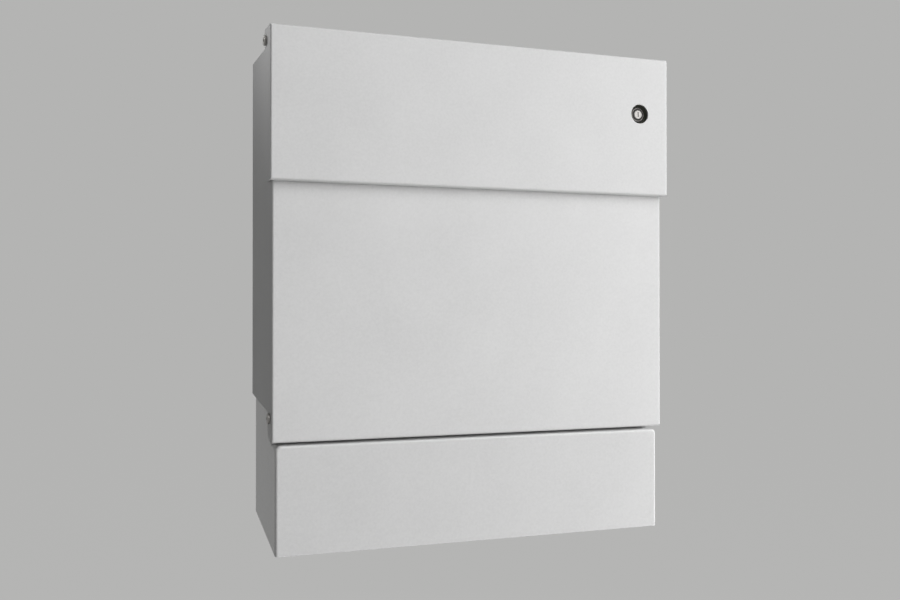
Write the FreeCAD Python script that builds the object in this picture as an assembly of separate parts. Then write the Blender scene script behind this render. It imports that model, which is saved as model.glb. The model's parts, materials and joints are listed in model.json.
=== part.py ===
import FreeCAD, Part
import math
import os

# Wall-mounted letterbox folded from steel sheet: a housing with a fixed tray at its foot, a door that tilts
# forward on two screws near its lower edge, and a flap over the letter slot that lifts on two more screws.
# Millimetres, +Z up. The front faces -Y, the wall is the plane Y = 0, and the origin is the middle of the
# four wall holes. "Out" is a distance from the wall, and "height" is above the lower edge of the tray.

# Sheet and bends
sheet = 1.5
bend_inside = 0.4
bend_outside = bend_inside + sheet
tray_bend = 2.5
tray_corner = 5.0

# Widths: flap outside, then door, then housing, one inside the other
overall_width = 410.0
flap_side_gap = 1.7
door_side_gap = 2.3
flap_half = overall_width / 2
door_half = flap_half - sheet - flap_side_gap
housing_half = door_half - sheet - door_side_gap

# Depths: tray face, door face a step in front of it, flap face a step in front of that
tray_out = 99.8
door_step = 2.5
flap_step = 8.7
door_out = tray_out + door_step
flap_out = door_out + flap_step

# Heights from the tray upwards
tray_height = 99.8
tray_bottom_rise = 24.0
tray_return = 18.0
tray_back = tray_out - tray_return
tray_return_slope = math.tan(math.radians(8.0))
tray_gap = 3.4
door_bottom = tray_height + tray_gap
overall_height = 480.0
flap_height = 139.7
flap_bottom = overall_height - flap_height
shoulder_drop = 13.3
shoulder = overall_height - shoulder_drop
roof_drop = 5.0
roof_top = shoulder - roof_drop
roof_gap = 4.0
door_top = roof_top - sheet - roof_gap
roof_out = tray_out

# Door: returns, cheeks with their slanted lower edge, and the arms that reach down to its pivots
door_return = 10.0
door_wall_gap = 2.0
arm_depth = 19.3
arm_height = 26.5
arm_corner_depth = 14.0
arm_corner_height = 5.0
cheek_rise = 11.0
arm_out = door_out - arm_depth
ear_radius = 8.0

# Pivots
door_pivot_inset = 9.6
door_pivot_height = 21.5
door_pivot_out = door_out - door_pivot_inset
door_pivot = door_bottom + door_pivot_height
flap_pivot_inset = 19.5
flap_pivot_drop = 11.3
flap_pivot_out = flap_out - flap_pivot_inset
flap_pivot = overall_height - flap_pivot_drop
running_clearance = 0.1
fixed_clearance = 0.05
side_play = 0.3

# Housing cheeks: boss round the door pivot, notch for the door's lower edge to swing through, strike flange
boss_clearance = 0.6
boss_radius = door_pivot_inset - sheet - boss_clearance
notch_clearance = 0.7
edge_reach = math.hypot(door_pivot_inset - bend_outside, door_pivot_height - bend_outside) + bend_outside
notch_radius = edge_reach + notch_clearance
stop_gap = 2.8
strike_out = door_out - sheet - stop_gap
strike_width = 12.0
strike_start = 15.0
strike_top_drop = 12.0
weld_flange = 12.0
return_end_gap = 2.0

# Flap
flap_cheek_depth = 27.0
flap_top_return = 16.0
flap_rest_gap = 1.2
flap_bottom_return = flap_step - flap_rest_gap

# Letter slot in the door, behind the flap, and the lock beside it
slot_height = 34.0
slot_drop = 23.0
slot_margin = 25.0
slot_to_lock = 22.5
slot_corner = 4.0
lock_inset = 32.3
lock_drop = 57.3
lock_recess = 3.6
lock_hole_diameter = 19.5
lock_x = flap_half - lock_inset
lock_height = overall_height - lock_drop
lock_face_out = flap_out - lock_recess

# Cam lock
collar_diameter = 24.0
collar_thickness = 2.0
barrel_diameter = 16.0
face_groove_outer = 13.6
face_groove_inner = 11.6
face_groove_depth = 0.5
face_chamfer = 0.6
plug_diameter = 9.0
plug_stand = 0.3
plug_chamfer = 0.4
keyway_width = 1.2
keyway_length = 5.0
keyway_depth = 0.8
cam_gap = 1.0
cam_thickness = 2.0
cam_reach = 22.0
cam_width = 14.0
cam_square = 6.0
cam_play = 0.2
cam_screw_diameter = 4.0
cam_screw_length = 6.0
cam_screw_head = 8.5
cam_screw_head_height = 2.0
cam_screw_slot = 1.2
lock_nut_flats = 20.0
lock_nut_thickness = 3.6
cam_front = strike_out - sheet - cam_gap
cam_back = cam_front - cam_thickness

# Pivot screws, nuts and washers
screw_diameter = 5.0
head_diameter = 9.5
head_height = 2.2
head_round = 0.8
socket_flats = 3.0
socket_depth = 1.3
nut_flats = 8.0
nut_thickness = 4.0
thread_end = 1.0
washer_diameter = 10.0

# Rubber stops
door_bumper_diameter = 8.0
door_bumper_drop = 18.0
flap_bumper_diameter = 10.0
flap_bumper_inset = 55.0
flap_bumper_height = 12.0
bumper_play = 0.3
bumper_round = 0.8

# Wall holes and drain holes in the housing's back and bottom
wall_hole_diameter = 6.5
wall_hole_span = 280.0
wall_hole_rise = 300.0
wall_holes_height = 259.2
drain_diameter = 5.0
drain_out = 70.0
drain_spacing = 120.0

overrun = 1.0
tiny = 1e-4


def at(x, out, height):
    return FreeCAD.Vector(x, -out, height - wall_holes_height)


def prism(outline, x0, x1):
    # Outline of (out, height) points carried from x0 to x1
    corners = [at(x0, out, height) for out, height in outline]
    face = Part.Face(Part.makePolygon(corners + corners[:1]))
    return face.extrude(FreeCAD.Vector(x1 - x0, 0, 0))


def slab(x0, x1, out0, out1, height0, height1):
    return prism([(out0, height0), (out1, height0), (out1, height1), (out0, height1)], x0, x1)


def rod(x0, x1, out, height, radius):
    # Round bar across the width
    return Part.makeCylinder(radius, x1 - x0, at(x0, out, height), FreeCAD.Vector(1, 0, 0))


def post(x, height, out0, out1, radius):
    # Round bar that stands out from the wall
    return Part.makeCylinder(radius, out1 - out0, at(x, out0, height), FreeCAD.Vector(0, -1, 0))


def hexagon(flats):
    # Corners of a hexagon about the origin, across its flats
    radius = flats / math.sqrt(3)
    turns = [math.radians(60 * i) for i in range(6)]
    return [(radius * math.cos(turn), radius * math.sin(turn)) for turn in turns]


def hex_rod(x0, x1, out, height, flats):
    return prism([(out + a, height + b) for a, b in hexagon(flats)], x0, x1)


def hex_post(x, height, out0, out1, flats):
    corners = [at(x + a, out0, height + b) for a, b in hexagon(flats)]
    face = Part.Face(Part.makePolygon(corners + corners[:1]))
    return face.extrude(FreeCAD.Vector(0, out0 - out1, 0))


def mirrored(x0, x1, side):
    # A range of x on the right, or the same range on the left
    return (x0, x1) if side > 0 else (-x1, -x0)


def face_edges(block, face_out, lowest=None):
    # Edges of a block that lie in the plane at face_out, without those along its lowest height
    edges = []
    for edge in block.Edges:
        in_face = all(abs(v.Y + face_out) < tiny for v in edge.Vertexes)
        along_low = lowest is not None and all(abs(v.Z - at(0, 0, lowest).z) < tiny for v in edge.Vertexes)
        if in_face and not along_low:
            edges.append(edge)
    return edges


def rounded_top(block, radius):
    # Block with the two top edges that run back from its face rounded
    top = [e for e in block.Edges if abs(e.Vertexes[0].X - e.Vertexes[1].X) < tiny
           and abs(e.Vertexes[0].Y - e.Vertexes[1].Y) > tiny
           and e.CenterOfMass.z > block.CenterOfMass.z]
    return block.makeFillet(radius, top)


def pan(half, face, rim, low, high, low_slope=0.0, high_slope=0.0, floor=True, side_depth=None,
        bend=bend_outside, corner=0.0):
    # Folded pan: a flat face with returns at its top, bottom and sides that run from face to rim.
    # The slopes tilt the top and bottom returns, floor=False leaves out the bottom return, and
    # side_depth cuts the side returns short. Bend is the outer radius of the folds round the face,
    # and corner rounds the two upper corners, welded and ground.
    inward = 1 if rim > face else -1
    depth = abs(rim - face)
    top_skin = sheet * math.hypot(1, high_slope)
    low_skin = sheet * math.hypot(1, low_slope) if floor else -overrun

    def inside(start, end):
        outline = []
        for along in (start, end):
            outline.append((face + inward * along, low + low_slope * along + low_skin))
        for along in (end, start):
            outline.append((face + inward * along, high + high_slope * along - top_skin))
        return outline

    outer = prism([(face, low), (rim, low + low_slope * depth),
                   (rim, high + high_slope * depth), (face, high)], -half, half)
    if corner:
        outer = rounded_top(outer, corner)
    outer = outer.makeFillet(bend, face_edges(outer, face, None if floor else low))
    hollow_face = face + inward * sheet
    hollow = prism(inside(sheet, depth + overrun), sheet - half, half - sheet)
    hollow_low = None if floor else low - overrun
    if corner:
        hollow = rounded_top(hollow, corner - sheet)
    hollow = hollow.makeFillet(bend - sheet, face_edges(hollow, hollow_face, hollow_low))
    shell = outer.cut(hollow)
    if side_depth is not None:
        shell = shell.cut(prism(inside(side_depth, depth + overrun), -half - overrun, half + overrun))
    return shell


def tray_bottom_height(out):
    return tray_bottom_rise * (1 - out / tray_out)


def housing_cheek(side):
    # Side wall with the tongue that carries the door pivot above the notch
    tray_edge = tray_out - tray_bend
    tray_side = tray_height - tray_corner
    front = strike_out - bend_outside
    outline = [
        (0, tray_bottom_height(0)),
        (tray_edge, tray_bottom_height(tray_edge)),
        (tray_edge, tray_side),
        (tray_back, tray_side),
        (tray_back, door_pivot),
        (front, door_pivot),
        (front, roof_top),
        (0, roof_top),
    ]
    x0, x1 = mirrored(housing_half - sheet, housing_half, side)
    swing = rod(x0, x1, door_pivot_out, door_pivot, notch_radius)
    swing = swing.cut(slab(x0, x1, 0, flap_out, door_pivot - boss_radius, overall_height))
    plate = prism(outline, x0, x1).cut(swing)
    return plate.fuse(rod(x0, x1, door_pivot_out, door_pivot, boss_radius))


def strike_flanges():
    # Front edges of both cheeks, turned inward for the door to close on and the lock's cam to catch
    low = door_pivot + strike_start
    high = door_top - strike_top_drop
    reach = housing_half - strike_width
    strip = pan(housing_half, strike_out, strike_out - 2 * bend_outside, low, high + bend_outside,
                floor=False)
    strip = strip.cut(slab(-reach, reach, 0, door_out, low - overrun, overall_height))
    return strip.cut(slab(-flap_half, flap_half, 0, door_out, high, overall_height))


def tray_front():
    return pan(housing_half, tray_out, tray_back, 0, tray_height,
               high_slope=tray_return_slope, floor=False, bend=tray_bend, corner=tray_corner)


def housing_front():
    shell = tray_front().fuse([housing_cheek(-1), housing_cheek(1), strike_flanges()])
    front = tray_out + overrun
    below = [(front, tray_bottom_height(front)), (0, tray_bottom_height(0)),
             (0, -tray_bottom_rise), (front, -tray_bottom_rise)]
    shell = shell.cut(prism(below, -flap_half, flap_half))
    hole = rod(-flap_half, flap_half, door_pivot_out, door_pivot, screw_diameter / 2 + fixed_clearance)
    return shell.cut(hole).removeSplitter()


def housing_back():
    half = housing_half - sheet
    shell = pan(half, 0, roof_out, tray_bottom_rise, roof_top,
                low_slope=-tray_bottom_rise / tray_out, side_depth=weld_flange)
    shell = shell.cut(slab(-half, half, tray_out - sheet, tray_out + overrun, -tray_height, tray_height))
    shell = shell.cut(tray_front())
    for x in (-wall_hole_span / 2, wall_hole_span / 2):
        for z in (-wall_hole_rise / 2, wall_hole_rise / 2):
            height = wall_holes_height + z
            shell = shell.cut(post(x, height, -overrun, sheet + overrun, wall_hole_diameter / 2))
    for x in (-drain_spacing, 0, drain_spacing):
        drain = Part.makeCylinder(drain_diameter / 2, tray_bottom_rise + tray_height,
                                  at(x, drain_out, -tray_height))
        shell = shell.cut(drain)
    return shell.removeSplitter()


def door_cheek(side):
    # Deep side wall: arm at the lower front, slanted lower edge, ear with the flap pivot at the upper front
    front = door_out - bend_outside
    cheek_front = door_bottom + arm_height
    outline = [
        (front, door_bottom),
        (arm_out + arm_corner_depth, door_bottom),
        (arm_out, door_bottom + arm_corner_height),
        (arm_out, cheek_front),
        (door_wall_gap, cheek_front + cheek_rise),
        (door_wall_gap, shoulder),
        (front, shoulder),
    ]
    x0, x1 = mirrored(door_half - sheet, door_half, side)
    return prism(outline, x0, x1).fuse(rod(x0, x1, flap_pivot_out, flap_pivot, ear_radius))


def letter_slot():
    slot_top = door_top - slot_drop
    cutter = slab(slot_margin - door_half, lock_x - slot_to_lock, door_out - 2 * sheet, door_out + sheet,
                  slot_top - slot_height, slot_top)
    corners = [e for e in cutter.Edges if abs(e.tangentAt(e.FirstParameter).y) > 0.5]
    return cutter.makeFillet(slot_corner, corners)


def door_panel():
    shell = pan(door_half, door_out, door_out - door_return, door_bottom, door_top,
                side_depth=bend_outside + sheet)
    shell = shell.fuse([door_cheek(-1), door_cheek(1)])
    inner = door_half - sheet
    top_reach = housing_half - strike_width - return_end_gap
    bottom_reach = housing_half - sheet - return_end_gap
    for side in (-1, 1):
        x0, x1 = mirrored(top_reach, inner, side)
        shell = shell.cut(slab(x0, x1, 0, door_out - bend_outside, door_top - bend_outside,
                               door_top + overrun))
        x0, x1 = mirrored(bottom_reach, inner, side)
        shell = shell.cut(slab(x0, x1, 0, door_out - bend_outside, door_bottom - overrun,
                               door_bottom + bend_outside))
    running = rod(-flap_half, flap_half, door_pivot_out, door_pivot, screw_diameter / 2 + running_clearance)
    fixed = rod(-flap_half, flap_half, flap_pivot_out, flap_pivot, screw_diameter / 2 + fixed_clearance)
    barrel = post(lock_x, lock_height, 0, flap_out, barrel_diameter / 2 + fixed_clearance)
    return shell.cut([letter_slot(), running, fixed, barrel]).removeSplitter()


def flap_panel():
    shell = pan(flap_half, flap_out, flap_out - flap_cheek_depth, flap_bottom, overall_height)
    inner = flap_half - sheet
    top_rim = flap_out - flap_top_return
    bottom_rim = flap_out - flap_bottom_return
    shell = shell.cut(slab(-inner, inner, 0, top_rim, flap_pivot, overall_height + overrun))
    shell = shell.cut(slab(-inner, inner, 0, bottom_rim, flap_bottom - overrun, flap_pivot))
    running = rod(-flap_half - overrun, flap_half + overrun, flap_pivot_out, flap_pivot,
                  screw_diameter / 2 + running_clearance)
    key_hole = post(lock_x, lock_height, door_out, flap_out + overrun, lock_hole_diameter / 2)
    return shell.cut([running, key_hole]).removeSplitter()


def screw(side, tip, under_head, out, height):
    # Low round head with a hexagon socket, outside on one side
    x0, x1 = mirrored(under_head, under_head + head_height, side)
    head = rod(x0, x1, out, height, head_diameter / 2)
    outer_face = under_head + head_height
    rim = [e for e in head.Edges if all(abs(abs(v.X) - outer_face) < tiny for v in e.Vertexes) and e.Closed]
    head = head.makeFillet(head_round, rim)
    x0, x1 = mirrored(outer_face - socket_depth, outer_face + overrun, side)
    head = head.cut(hex_rod(x0, x1, out, height, socket_flats))
    x0, x1 = mirrored(tip, under_head, side)
    return head.fuse(rod(x0, x1, out, height, screw_diameter / 2)).removeSplitter()


def nut(side, x_seat, out, height):
    # Hexagon nut on the inner side of x_seat
    x0, x1 = mirrored(x_seat - nut_thickness, x_seat, side)
    bore = rod(x0, x1, out, height, screw_diameter / 2 + fixed_clearance)
    return hex_rod(x0, x1, out, height, nut_flats).cut(bore)


def washer(side, x_seat, thickness, out, height):
    # Washer on the outer side of x_seat
    x0, x1 = mirrored(x_seat, x_seat + thickness, side)
    bore = rod(x0, x1, out, height, screw_diameter / 2 + fixed_clearance)
    return rod(x0, x1, out, height, washer_diameter / 2).cut(bore)


def pivot_set(name, side, fixed_outer, gap, moving_outer, out, height):
    # Screw, washer and nut of one pivot: fixed to the inner wall, with the outer wall turning on the screw
    end = {-1: "left", 1: "right"}[side]
    fixed_inner = fixed_outer - sheet
    tip = fixed_inner - nut_thickness - thread_end
    return {
        f"{name}_screw_{end}": screw(side, tip, moving_outer + side_play, out, height),
        f"{name}_washer_{end}": washer(side, fixed_outer, gap - side_play, out, height),
        f"{name}_nut_{end}": nut(side, fixed_inner, out, height),
    }


def lock_body():
    # Threaded barrel with a collar on the door and a grooved face behind the flap's hole
    barrel = post(lock_x, lock_height, cam_front + cam_play, lock_face_out, barrel_diameter / 2)
    rim = [e for e in barrel.Edges if e.Closed and all(abs(v.Y + lock_face_out) < tiny for v in e.Vertexes)]
    barrel = barrel.makeChamfer(face_chamfer, rim)
    collar = post(lock_x, lock_height, door_out, door_out + collar_thickness, collar_diameter / 2)
    groove_start = lock_face_out - face_groove_depth
    groove_end = lock_face_out + overrun
    groove = post(lock_x, lock_height, groove_start, groove_end, face_groove_outer / 2)
    groove = groove.cut(post(lock_x, lock_height, groove_start, groove_end, face_groove_inner / 2))
    bore = post(lock_x, lock_height, cam_back, flap_out, plug_diameter / 2 + running_clearance)
    return barrel.fuse(collar).cut([groove, bore]).removeSplitter()


def lock_plug():
    # Turned plug with a shallow shuttered keyway in its face and a square end for the cam
    front = lock_face_out + plug_stand
    plug = post(lock_x, lock_height, cam_front, front, plug_diameter / 2)
    rim = [e for e in plug.Edges if e.Closed and all(abs(v.Y + front) < tiny for v in e.Vertexes)]
    plug = plug.makeChamfer(plug_chamfer, rim)
    half = cam_square / 2
    plug = plug.fuse(slab(lock_x - half, lock_x + half, cam_back, cam_front,
                          lock_height - half, lock_height + half))
    keyway = slab(lock_x - keyway_width / 2, lock_x + keyway_width / 2,
                  front - keyway_depth, front + overrun,
                  lock_height - keyway_length / 2, lock_height + keyway_length / 2)
    thread = post(lock_x, lock_height, cam_back - overrun, cam_back + cam_screw_length,
                  cam_screw_diameter / 2 + fixed_clearance)
    return plug.cut([keyway, thread]).removeSplitter()


def lock_cam():
    # Flat lever on the plug's square end, hanging down when the lock is open
    half = cam_width / 2
    lever = slab(lock_x - half, lock_x + half, cam_back, cam_front,
                 lock_height - cam_reach + half, lock_height)
    lever = lever.fuse([post(lock_x, lock_height, cam_back, cam_front, half),
                        post(lock_x, lock_height - cam_reach + half, cam_back, cam_front, half)])
    hole = cam_square / 2 + fixed_clearance
    square = slab(lock_x - hole, lock_x + hole, cam_back - overrun, cam_front + overrun,
                  lock_height - hole, lock_height + hole)
    return lever.cut(square).removeSplitter()


def lock_cam_screw():
    head_back = cam_back - cam_screw_head_height
    head = post(lock_x, lock_height, head_back, cam_back, cam_screw_head / 2)
    slot_half = cam_screw_slot / 2
    slot = slab(lock_x - cam_screw_head, lock_x + cam_screw_head, head_back - overrun,
                head_back + cam_screw_slot, lock_height - slot_half, lock_height + slot_half)
    shank = post(lock_x, lock_height, cam_back, cam_back + cam_screw_length, cam_screw_diameter / 2)
    return head.cut(slot).fuse(shank).removeSplitter()


def lock_nut():
    seat = door_out - sheet
    body = hex_post(lock_x, lock_height, seat - lock_nut_thickness, seat, lock_nut_flats)
    bore = post(lock_x, lock_height, cam_back, flap_out, barrel_diameter / 2 + fixed_clearance)
    return body.cut(bore)


def bumper(x, height, out0, out1, diameter):
    # Rubber button with a rounded crown, stuck on the face at out0
    button = post(x, height, out0, out1, diameter / 2)
    rim = [e for e in button.Edges if e.Closed and all(abs(v.Y + out1) < tiny for v in e.Vertexes)]
    return button.makeFillet(bumper_round, rim)


def letterbox():
    nodes = {
        "housing_front": housing_front(),
        "housing_back": housing_back(),
        "door_panel": door_panel(),
        "flap_panel": flap_panel(),
        "lock_body": lock_body(),
        "lock_nut": lock_nut(),
        "lock_plug": lock_plug(),
        "lock_cam": lock_cam(),
        "lock_cam_screw": lock_cam_screw(),
    }
    for side, end in ((-1, "left"), (1, "right")):
        nodes.update(pivot_set("door_pivot", side, housing_half, door_side_gap, door_half,
                               door_pivot_out, door_pivot))
        nodes.update(pivot_set("flap_pivot", side, door_half, flap_side_gap, flap_half,
                               flap_pivot_out, flap_pivot))
        bumper_x = side * (housing_half - strike_width / 2)
        bumper_height = door_top - strike_top_drop - door_bumper_drop
        nodes[f"door_bumper_{end}"] = bumper(bumper_x, bumper_height, strike_out,
                                             door_out - sheet - bumper_play, door_bumper_diameter)
        bumper_x = side * (flap_half - flap_bumper_inset)
        bumper_height = flap_bottom + flap_bumper_height
        nodes[f"flap_bumper_{end}"] = bumper(bumper_x, bumper_height, door_out,
                                             flap_out - sheet - bumper_play, flap_bumper_diameter)
    return nodes


os.makedirs("parts", exist_ok=True)
for node, shape in letterbox().items():
    shape.exportStep(f"parts/{node}.step")
    print(node, len(shape.Solids), shape.isValid(), round(shape.Volume, 1))
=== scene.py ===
import json
import math
import bpy
import numpy as np
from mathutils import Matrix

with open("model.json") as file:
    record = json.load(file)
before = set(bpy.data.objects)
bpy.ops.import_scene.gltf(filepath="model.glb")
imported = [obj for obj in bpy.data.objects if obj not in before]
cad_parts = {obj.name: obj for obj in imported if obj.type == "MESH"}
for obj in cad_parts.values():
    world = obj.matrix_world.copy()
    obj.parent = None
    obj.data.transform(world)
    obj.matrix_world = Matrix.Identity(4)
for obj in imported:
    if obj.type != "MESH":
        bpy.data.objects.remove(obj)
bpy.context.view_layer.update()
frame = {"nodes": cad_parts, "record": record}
scene = bpy.context.scene
print("frame loaded with", len(frame["nodes"]), "nodes")

mixA, mixB, mixResult = 6, 7, 2  # sockets of a Mix node that carry colours


def linear(hexColour):
    # sRGB hex to linear RGBA: c/12.92 below 0.04045, else ((c + 0.055)/1.055)^2.4
    srgb = np.array([int(hexColour[i:i + 2], 16) for i in (1, 3, 5)]) / 255
    low, high = srgb / 12.92, ((srgb + 0.055) / 1.055) ** 2.4
    return (*np.where(srgb <= 0.04045, low, high), 1.0)


def perMetre(sizeMm):
    return 1000 / sizeMm  # texture scale that gives features of that size on Object coordinates


def addNode(tree, kind, settings=None, links=None):
    # settings fill inputs or properties by name, links bring other nodes' outputs to inputs
    made = tree.nodes.new(kind)
    for name, value in (settings or {}).items():
        if isinstance(name, int) or name in made.inputs:
            made.inputs[name].default_value = value
        else:
            setattr(made, name, value)
    for name, source in (links or {}).items():
        tree.links.new(source, made.inputs[name])
    return made


def newMaterial(name):
    # empty material, its node tree and the Object coordinates that its patterns read
    material = bpy.data.materials.new(name)
    material.use_nodes = True
    tree = material.node_tree
    tree.nodes.clear()
    place = addNode(tree, "ShaderNodeTexCoord").outputs["Object"]
    return material, tree, place


def bareMetal(tree, look, pattern):
    # metal surface whose colour and gloss follow one pattern
    colour = addNode(tree, "ShaderNodeMix", {"data_type": "RGBA", mixA: linear(look["dark"]),
                                             mixB: linear(look["light"])}, {0: pattern})
    gloss = addNode(tree, "ShaderNodeMapRange", {"To Min": look["roughness"][0],
                                                 "To Max": look["roughness"][1]}, {"Value": pattern})
    surface = addNode(tree, "ShaderNodeBsdfPrincipled", {"Metallic": 1.0},
                      {"Base Color": colour.outputs[mixResult], "Roughness": gloss.outputs[0]})
    addNode(tree, "ShaderNodeOutputMaterial", links={"Surface": surface.outputs[0]})


def shownShare(tree):
    # 1 for rays from the camera, mirrors and clear parts, 0 for light that falls on surfaces
    ray = addNode(tree, "ShaderNodeLightPath").outputs
    shown = addNode(tree, "ShaderNodeMath", {"operation": "MAXIMUM"},
                    {0: ray["Is Camera Ray"], 1: ray["Is Glossy Ray"]})
    shown = addNode(tree, "ShaderNodeMath", {"operation": "MAXIMUM"},
                    {0: shown.outputs[0], 1: ray["Is Transmission Ray"]})
    return shown.outputs[0]


# The lock's axis runs along Y through the place of its joint
lockPlace = next(j["pos_m"] for j in frame["record"]["behaviour"]["joints"] if j["name"] == "lock_turn")
ontoLockAxis = (-lockPlace[0], 0.0, -lockPlace[2])  # shift that brings the axis to the origin


# White polyester powder coat baked on steel sheet: even white with a faint orange peel. A satin grade
# gives the door, flap and back a soft broad sheen, a smooth one lets the tray and its cheeks mirror more
powderCoatLook = {
    "light": "#eeeeee", "shade": "#e2e2e2",  # thick and thin film
    "peelMm": 2.4,        # orange peel spacing, about twice the real one so that it shows
    "peelDetail": 2.0,
    "cloudMm": 60.0,      # slow change of film thickness over a panel
    "cloudDetail": 1.0,
    "cloudShare": 0.6,
    "roughness": {"satin": (0.50, 0.56), "smooth": (0.22, 0.25)},
    "ior": 1.5,
    "peelStrength": 0.6, "peelDepth": 0.00001,
}


def powderCoat(grade):
    look = powderCoatLook
    material, tree, place = newMaterial(grade + " white powder coat on steel")
    peel = addNode(tree, "ShaderNodeTexNoise", {"Scale": perMetre(look["peelMm"]),
                                                "Detail": look["peelDetail"]}, {"Vector": place})
    cloud = addNode(tree, "ShaderNodeTexNoise", {"Scale": perMetre(look["cloudMm"]),
                                                 "Detail": look["cloudDetail"]}, {"Vector": place})
    # film = peel + cloudShare * (cloud - 1/2)
    film = addNode(tree, "ShaderNodeMath", {"operation": "MULTIPLY_ADD", 1: look["cloudShare"],
                                            2: -look["cloudShare"] / 2}, {0: cloud.outputs["Fac"]})
    film = addNode(tree, "ShaderNodeMath", {"operation": "ADD"},
                   {0: film.outputs[0], 1: peel.outputs["Fac"]})
    colour = addNode(tree, "ShaderNodeMix", {"data_type": "RGBA", mixA: linear(look["shade"]),
                                             mixB: linear(look["light"])}, {0: film.outputs[0]})
    gloss = addNode(tree, "ShaderNodeMapRange", {"To Min": look["roughness"][grade][0],
                                                 "To Max": look["roughness"][grade][1]},
                    {"Value": peel.outputs["Fac"]})
    bump = addNode(tree, "ShaderNodeBump", {"Strength": look["peelStrength"],
                                            "Distance": look["peelDepth"]},
                   {"Height": peel.outputs["Fac"]})
    surface = addNode(tree, "ShaderNodeBsdfPrincipled", {"IOR": look["ior"]},
                      {"Base Color": colour.outputs[mixResult], "Roughness": gloss.outputs[0],
                       "Normal": bump.outputs[0]})
    addNode(tree, "ShaderNodeOutputMaterial", links={"Surface": surface.outputs[0]})
    return material


# Plain A2 stainless steel, cold headed and tumbled: grey metal with a soft gloss and fine scuffs; the
# grey is set darker than bare stainless, painted shade that makes the heads read dark
stainlessLook = {
    "light": "#aaa8a5", "dark": "#888683",
    "scuffMm": 0.9, "scuffDetail": 3.0,
    "roughness": (0.30, 0.44),
}


def stainless():
    look = stainlessLook
    material, tree, place = newMaterial("tumbled stainless steel")
    scuff = addNode(tree, "ShaderNodeTexNoise", {"Scale": perMetre(look["scuffMm"]),
                                                 "Detail": look["scuffDetail"]}, {"Vector": place})
    bareMetal(tree, look, scuff.outputs["Fac"])
    return material


# Natural nylon, turned washers: milky off-white, waxy, a little light passes through
nylonLook = {
    "light": "#ece8dd", "dark": "#e0dccf",
    "mottleMm": 2.5, "mottleDetail": 2.0,
    "roughness": 0.5, "ior": 1.53,
    "glow": 0.15, "glowReach": 0.001,
}


def nylon():
    look = nylonLook
    material, tree, place = newMaterial("natural nylon")
    mottle = addNode(tree, "ShaderNodeTexNoise", {"Scale": perMetre(look["mottleMm"]),
                                                  "Detail": look["mottleDetail"]}, {"Vector": place})
    colour = addNode(tree, "ShaderNodeMix", {"data_type": "RGBA", mixA: linear(look["dark"]),
                                             mixB: linear(look["light"])}, {0: mottle.outputs["Fac"]})
    surface = addNode(tree, "ShaderNodeBsdfPrincipled",
                      {"Roughness": look["roughness"], "IOR": look["ior"],
                       "Subsurface Weight": look["glow"], "Subsurface Scale": look["glowReach"]},
                      {"Base Color": colour.outputs[mixResult]})
    addNode(tree, "ShaderNodeOutputMaterial", links={"Surface": surface.outputs[0]})
    return material


# Black coated zinc die casting: near black and matt with the grain of the casting skin, a thin bright
# ring on the face's groove that is a painted highlight, and a pale grey collar, partly the zinc's own
# tone and partly painted light that lifts the shade it lies in
blackZincLook = {
    "light": "#1c1c1b", "dark": "#111111",
    "grainMm": 0.7, "grainDetail": 2.0,
    "roughness": (0.58, 0.70), "ior": 1.5,
    "grainStrength": 0.4, "grainDepth": 0.00002,
    # painted highlight: a pale ring of colour on the face's groove stands in for light caught by its
    # edge
    "highlightRingRadius": 0.0064, "highlightRingHalf": 0.0003, "paintedHighlightRing": "#b7b0aa",  # metres from the lock's axis
    # painted light: the collar's grey is made pale so its shaded crescent seen through the flap's hole
    # reads lighter; partly the zinc's own tone
    "collarFrom": 0.0081, "collar": "#a3a596",
}


def blackZinc():
    look = blackZincLook
    material, tree, place = newMaterial("black coated zinc die casting")
    grain = addNode(tree, "ShaderNodeTexNoise", {"Scale": perMetre(look["grainMm"]),
                                                 "Detail": look["grainDetail"]}, {"Vector": place})
    centred = addNode(tree, "ShaderNodeMapping", {"Location": ontoLockAxis, "Scale": (1.0, 0.0, 1.0)},
                      {"Vector": place})
    radius = addNode(tree, "ShaderNodeVectorMath", {"operation": "LENGTH"}, {0: centred.outputs[0]})
    # mask of the painted highlight ring around the lock's axis
    paintedHighlightRing = addNode(tree, "ShaderNodeMath", {"operation": "COMPARE", 1: look["highlightRingRadius"],
                                            2: look["highlightRingHalf"]}, {0: radius.outputs["Value"]})
    # mask of the collar, whose pale colour is partly painted light
    collar = addNode(tree, "ShaderNodeMath", {"operation": "GREATER_THAN", 1: look["collarFrom"]},
                     {0: radius.outputs["Value"]})
    colour = addNode(tree, "ShaderNodeMix", {"data_type": "RGBA", mixA: linear(look["dark"]),
                                             mixB: linear(look["light"])}, {0: grain.outputs["Fac"]})
    # lay the painted highlight ring and the partly painted-light collar over the grain
    for share, over in ((paintedHighlightRing, look["paintedHighlightRing"]), (collar, look["collar"])):
        colour = addNode(tree, "ShaderNodeMix", {"data_type": "RGBA", mixB: linear(over)},
                         {0: share.outputs[0], mixA: colour.outputs[mixResult]})
    gloss = addNode(tree, "ShaderNodeMapRange", {"To Min": look["roughness"][0],
                                                 "To Max": look["roughness"][1]},
                    {"Value": grain.outputs["Fac"]})
    bump = addNode(tree, "ShaderNodeBump", {"Strength": look["grainStrength"],
                                            "Distance": look["grainDepth"]},
                   {"Height": grain.outputs["Fac"]})
    surface = addNode(tree, "ShaderNodeBsdfPrincipled", {"IOR": look["ior"]},
                      {"Base Color": colour.outputs[mixResult], "Roughness": gloss.outputs[0],
                       "Normal": bump.outputs[0]})
    addNode(tree, "ShaderNodeOutputMaterial", links={"Surface": surface.outputs[0]})
    return material


# Satin nickel on turned brass: pale metal with rings left by the lathe
nickelLook = {
    "light": "#999795", "dark": "#848280",
    "ringMm": 3.14,       # ring spacing, many times the real lathe feed so that it shows
    "waver": 0.6,
    "roughness": (0.36, 0.46),
}


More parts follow.
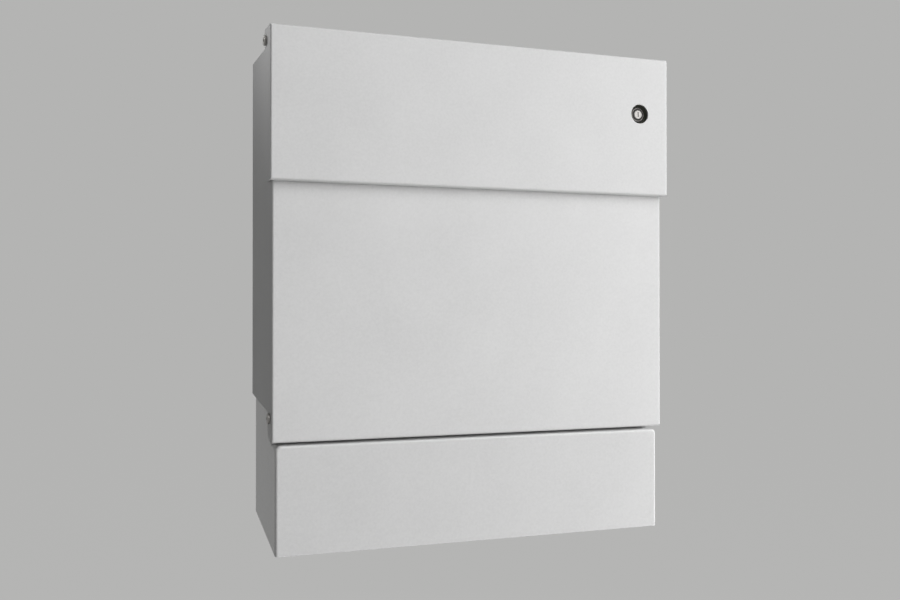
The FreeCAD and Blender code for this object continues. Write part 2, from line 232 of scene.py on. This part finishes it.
def nickel():
    look = nickelLook
    material, tree, place = newMaterial("satin nickel plate")
    ringsAtScaleOne = 20 / (2 * math.pi)  # rings in a metre that the wave texture has by itself
    centred = addNode(tree, "ShaderNodeMapping", {"Location": ontoLockAxis}, {"Vector": place})
    rings = addNode(tree, "ShaderNodeTexWave", {"wave_type": "RINGS", "rings_direction": "Y",
                                                "Scale": perMetre(look["ringMm"]) / ringsAtScaleOne,
                                                "Distortion": look["waver"]},
                    {"Vector": centred.outputs[0]})
    bareMetal(tree, look, rings.outputs["Fac"])
    return material


# Bright zinc plate, clear passivated: bluish grey metal, cloudy where the plating is uneven
zincLook = {
    "light": "#b4b9c0", "dark": "#969ba3",
    "cloudMm": 3.0, "cloudDetail": 4.0,
    "roughness": (0.28, 0.42),
}


def zincPlate():
    look = zincLook
    material, tree, place = newMaterial("clear zinc plate on steel")
    cloud = addNode(tree, "ShaderNodeTexNoise", {"Scale": perMetre(look["cloudMm"]),
                                                 "Detail": look["cloudDetail"]}, {"Vector": place})
    bareMetal(tree, look, cloud.outputs["Fac"])
    return material


# Moulded black rubber: matt and slightly dusty
rubberLook = {
    "light": "#2d2c2b", "dark": "#1f1f1e",
    "grainMm": 0.6, "grainDetail": 3.0,
    "roughness": 0.78, "ior": 1.52,
    "grainStrength": 0.5, "grainDepth": 0.00004,
}


def rubber():
    look = rubberLook
    material, tree, place = newMaterial("moulded black rubber")
    grain = addNode(tree, "ShaderNodeTexNoise", {"Scale": perMetre(look["grainMm"]),
                                                 "Detail": look["grainDetail"]}, {"Vector": place})
    colour = addNode(tree, "ShaderNodeMix", {"data_type": "RGBA", mixA: linear(look["dark"]),
                                             mixB: linear(look["light"])}, {0: grain.outputs["Fac"]})
    bump = addNode(tree, "ShaderNodeBump", {"Strength": look["grainStrength"],
                                            "Distance": look["grainDepth"]},
                   {"Height": grain.outputs["Fac"]})
    surface = addNode(tree, "ShaderNodeBsdfPrincipled",
                      {"Roughness": look["roughness"], "IOR": look["ior"]},
                      {"Base Color": colour.outputs[mixResult], "Normal": bump.outputs[0]})
    addNode(tree, "ShaderNodeOutputMaterial", links={"Surface": surface.outputs[0]})
    return material


finishes = {
    "powder_coated_steel": powderCoat("satin"),
    "tray_sheet": powderCoat("smooth"),
    "stainless_steel": stainless(),
    "nylon": nylon(),
    "black_zinc": blackZinc(),
    "nickel_plate": nickel(),
    "zinc_plated_steel": zincPlate(),
    "rubber": rubber(),
}
for part in frame["record"]["subparts"]:
    piece = frame["nodes"][part["node"]]
    chosen = "tray_sheet" if part["node"] == "housing_front" else part["material_slot"]
    piece.data.materials.clear()
    piece.data.materials.append(finishes[chosen])
print("finishes set:", len(finishes))


# Studio: dim even fill for the surfaces, pale backdrop for what the camera and mirrors see
studioLook = {"fill": "#ffffff", "fillLevel": 0.102, "backdrop": "#b4b4b3"}


def studioWorld():
    look = studioLook
    world = bpy.data.worlds.new("studio")
    world.use_nodes = True
    tree = world.node_tree
    tree.nodes.clear()
    fill = addNode(tree, "ShaderNodeBackground", {"Color": linear(look["fill"]),
                                                  "Strength": look["fillLevel"]})
    pale = addNode(tree, "ShaderNodeBackground", {"Color": linear(look["backdrop"]), "Strength": 1.0})
    both = addNode(tree, "ShaderNodeMixShader", links={0: shownShare(tree), 1: fill.outputs[0],
                                                       2: pale.outputs[0]})
    addNode(tree, "ShaderNodeOutputWorld", links={"Surface": both.outputs[0]})
    return world


scene.world = studioWorld()
print("studio filled to", studioLook["fillLevel"])


# Floor: a flat disc, point(u, v) = (r(u) cos v, r(u) sin v, height), rings spread as u squared
floorLook = {
    "height": -1.2,       # letterbox hangs at its usual height above it
    "radius": 40.0,
    "rings": 24, "spokes": 96,
    "firstRing": 0.02,    # u of the innermost ring
    "light": "#b4b4b3", "shade": "#aeaead",
    "mottleMm": 90.0, "mottleDetail": 2.0,
    "seen": 0.88,         # share that the camera sees as even backdrop, the rest keeps shadows
}


def floorDisc():
    look = floorLook
    rings, spokes = look["rings"], look["spokes"]
    u = np.linspace(look["firstRing"], 1, rings)[:, None]
    v = np.linspace(0, 2 * np.pi, spokes, endpoint=False)[None, :]
    r = look["radius"] * u ** 2
    points = np.stack(np.broadcast_arrays(r * np.cos(v), r * np.sin(v), look["height"]), -1)
    i, j = np.meshgrid(np.arange(rings - 1), np.arange(spokes), indexing="ij")
    k = (j + 1) % spokes
    quads = np.stack([i * spokes + j, (i + 1) * spokes + j, (i + 1) * spokes + k, i * spokes + k], -1)
    centre = [list(range(spokes))]
    mesh = bpy.data.meshes.new("floor")
    mesh.from_pydata(points.reshape(-1, 3).tolist(), [], quads.reshape(-1, 4).tolist() + centre)
    disc = bpy.data.objects.new("floor", mesh)
    scene.collection.objects.link(disc)
    return disc


def floorPaper():
    # Matt pale studio paper, which for the camera is mostly even so that it runs into the backdrop
    look = floorLook
    material, tree, place = newMaterial("pale studio paper")
    mottle = addNode(tree, "ShaderNodeTexNoise", {"Scale": perMetre(look["mottleMm"]),
                                                  "Detail": look["mottleDetail"]}, {"Vector": place})
    colour = addNode(tree, "ShaderNodeMix", {"data_type": "RGBA", mixA: linear(look["shade"]),
                                             mixB: linear(look["light"])}, {0: mottle.outputs["Fac"]})
    matt = addNode(tree, "ShaderNodeBsdfDiffuse", links={"Color": colour.outputs[mixResult]})
    # even level = (backdrop - matt share * paper * fill) / even share, which hides the far edge
    mattLevel = (1 - look["seen"]) * linear(look["light"])[0] * studioLook["fillLevel"]
    evenLevel = [(c - mattLevel) / look["seen"] for c in linear(studioLook["backdrop"])[:3]]
    even = addNode(tree, "ShaderNodeEmission", {"Color": (*evenLevel, 1.0)})
    share = addNode(tree, "ShaderNodeMath", {"operation": "MULTIPLY", 1: look["seen"]},
                    {0: shownShare(tree)})
    both = addNode(tree, "ShaderNodeMixShader", links={0: share.outputs[0], 1: matt.outputs[0],
                                                       2: even.outputs[0]})
    addNode(tree, "ShaderNodeOutputMaterial", links={"Surface": both.outputs[0]})
    return material


floor = floorDisc()
floor.data.materials.append(floorPaper())
print("floor laid at", floorLook["height"])


# Soft boxes: a large one at the right front and one high above it light the front from right to left,
# two at the right light the lower front and the right side, one stands behind, and a narrow one behind
# the left lifts the flap's left cheek
openSpread = 180  # degrees, for a box with no grid in front
softBoxes = {
    "front soft box": {"place": (2.0, -2.1, 0.95), "aim": (0.0, -0.1, -0.1), "size": (2.0, 1.6),
                       "spread": openSpread, "watts": 46.0},
    "top soft box": {"place": (1.0, -3.0, 3.6), "aim": (0.0, -0.1, 0.0), "size": (2.6, 2.4),
                     "spread": openSpread, "watts": 60.0},
    "side soft box": {"place": (1.1, -0.7, -0.4), "aim": (0.0, -0.1, -0.2), "size": (1.0, 1.2),
                      "spread": openSpread, "watts": 6.2},
    "edge soft box": {"place": (1.5, -0.2, 0.1), "aim": (0.2, -0.1, 0.0), "size": (0.5, 1.6),
                      "spread": openSpread, "watts": 4.0},
    "back soft box": {"place": (0.9, 2.4, 0.8), "aim": (0.0, 0.0, 0.0), "size": (1.4, 1.4),
                      "spread": openSpread, "watts": 30.0},
    "rear soft box": {"place": (-0.8, 0.5, 0.55), "aim": (-0.205, -0.1, 0.26), "size": (0.12, 0.12),
                      "spread": 20, "watts": 0.035},
}


def aimed(place, aim):
    # turn that points -Z from place at aim: tilt from straight down, then bearing
    dx, dy, dz = (a - p for a, p in zip(aim, place))
    return (math.atan2(math.hypot(dx, dy), -dz), 0.0, math.atan2(-dx, dy))


for name, box in softBoxes.items():
    lamp = bpy.data.lights.new(name, "AREA")
    lamp.shape = "RECTANGLE"
    lamp.size, lamp.size_y = box["size"]
    lamp.spread = math.radians(box["spread"])
    lamp.energy = box["watts"]
    holder = bpy.data.objects.new(name, lamp)
    holder.location = box["place"]
    holder.rotation_euler = aimed(box["place"], box["aim"])
    holder.visible_camera = False
    scene.collection.objects.link(holder)
print("soft boxes lit:", len(softBoxes))


# Camera at the photograph's place: left of the front, level with the door
cameraLook = {
    "place": (-0.3786, -1.0364, -0.0322),
    "yaw": 20.44, "pitch": 0.333,  # degrees to the right and up
    "lens": 41.63, "sensor": 36.0,
}
camera = bpy.data.objects.new("camera", bpy.data.cameras.new("camera"))
camera.data.lens = cameraLook["lens"]
camera.data.sensor_width = cameraLook["sensor"]
camera.location = cameraLook["place"]
camera.rotation_euler = (math.radians(90 + cameraLook["pitch"]), 0.0, -math.radians(cameraLook["yaw"]))
scene.collection.objects.link(camera)
scene.camera = camera
scene.view_settings.view_transform = "Standard"
print("camera set")

bpy.context.view_layer.update()
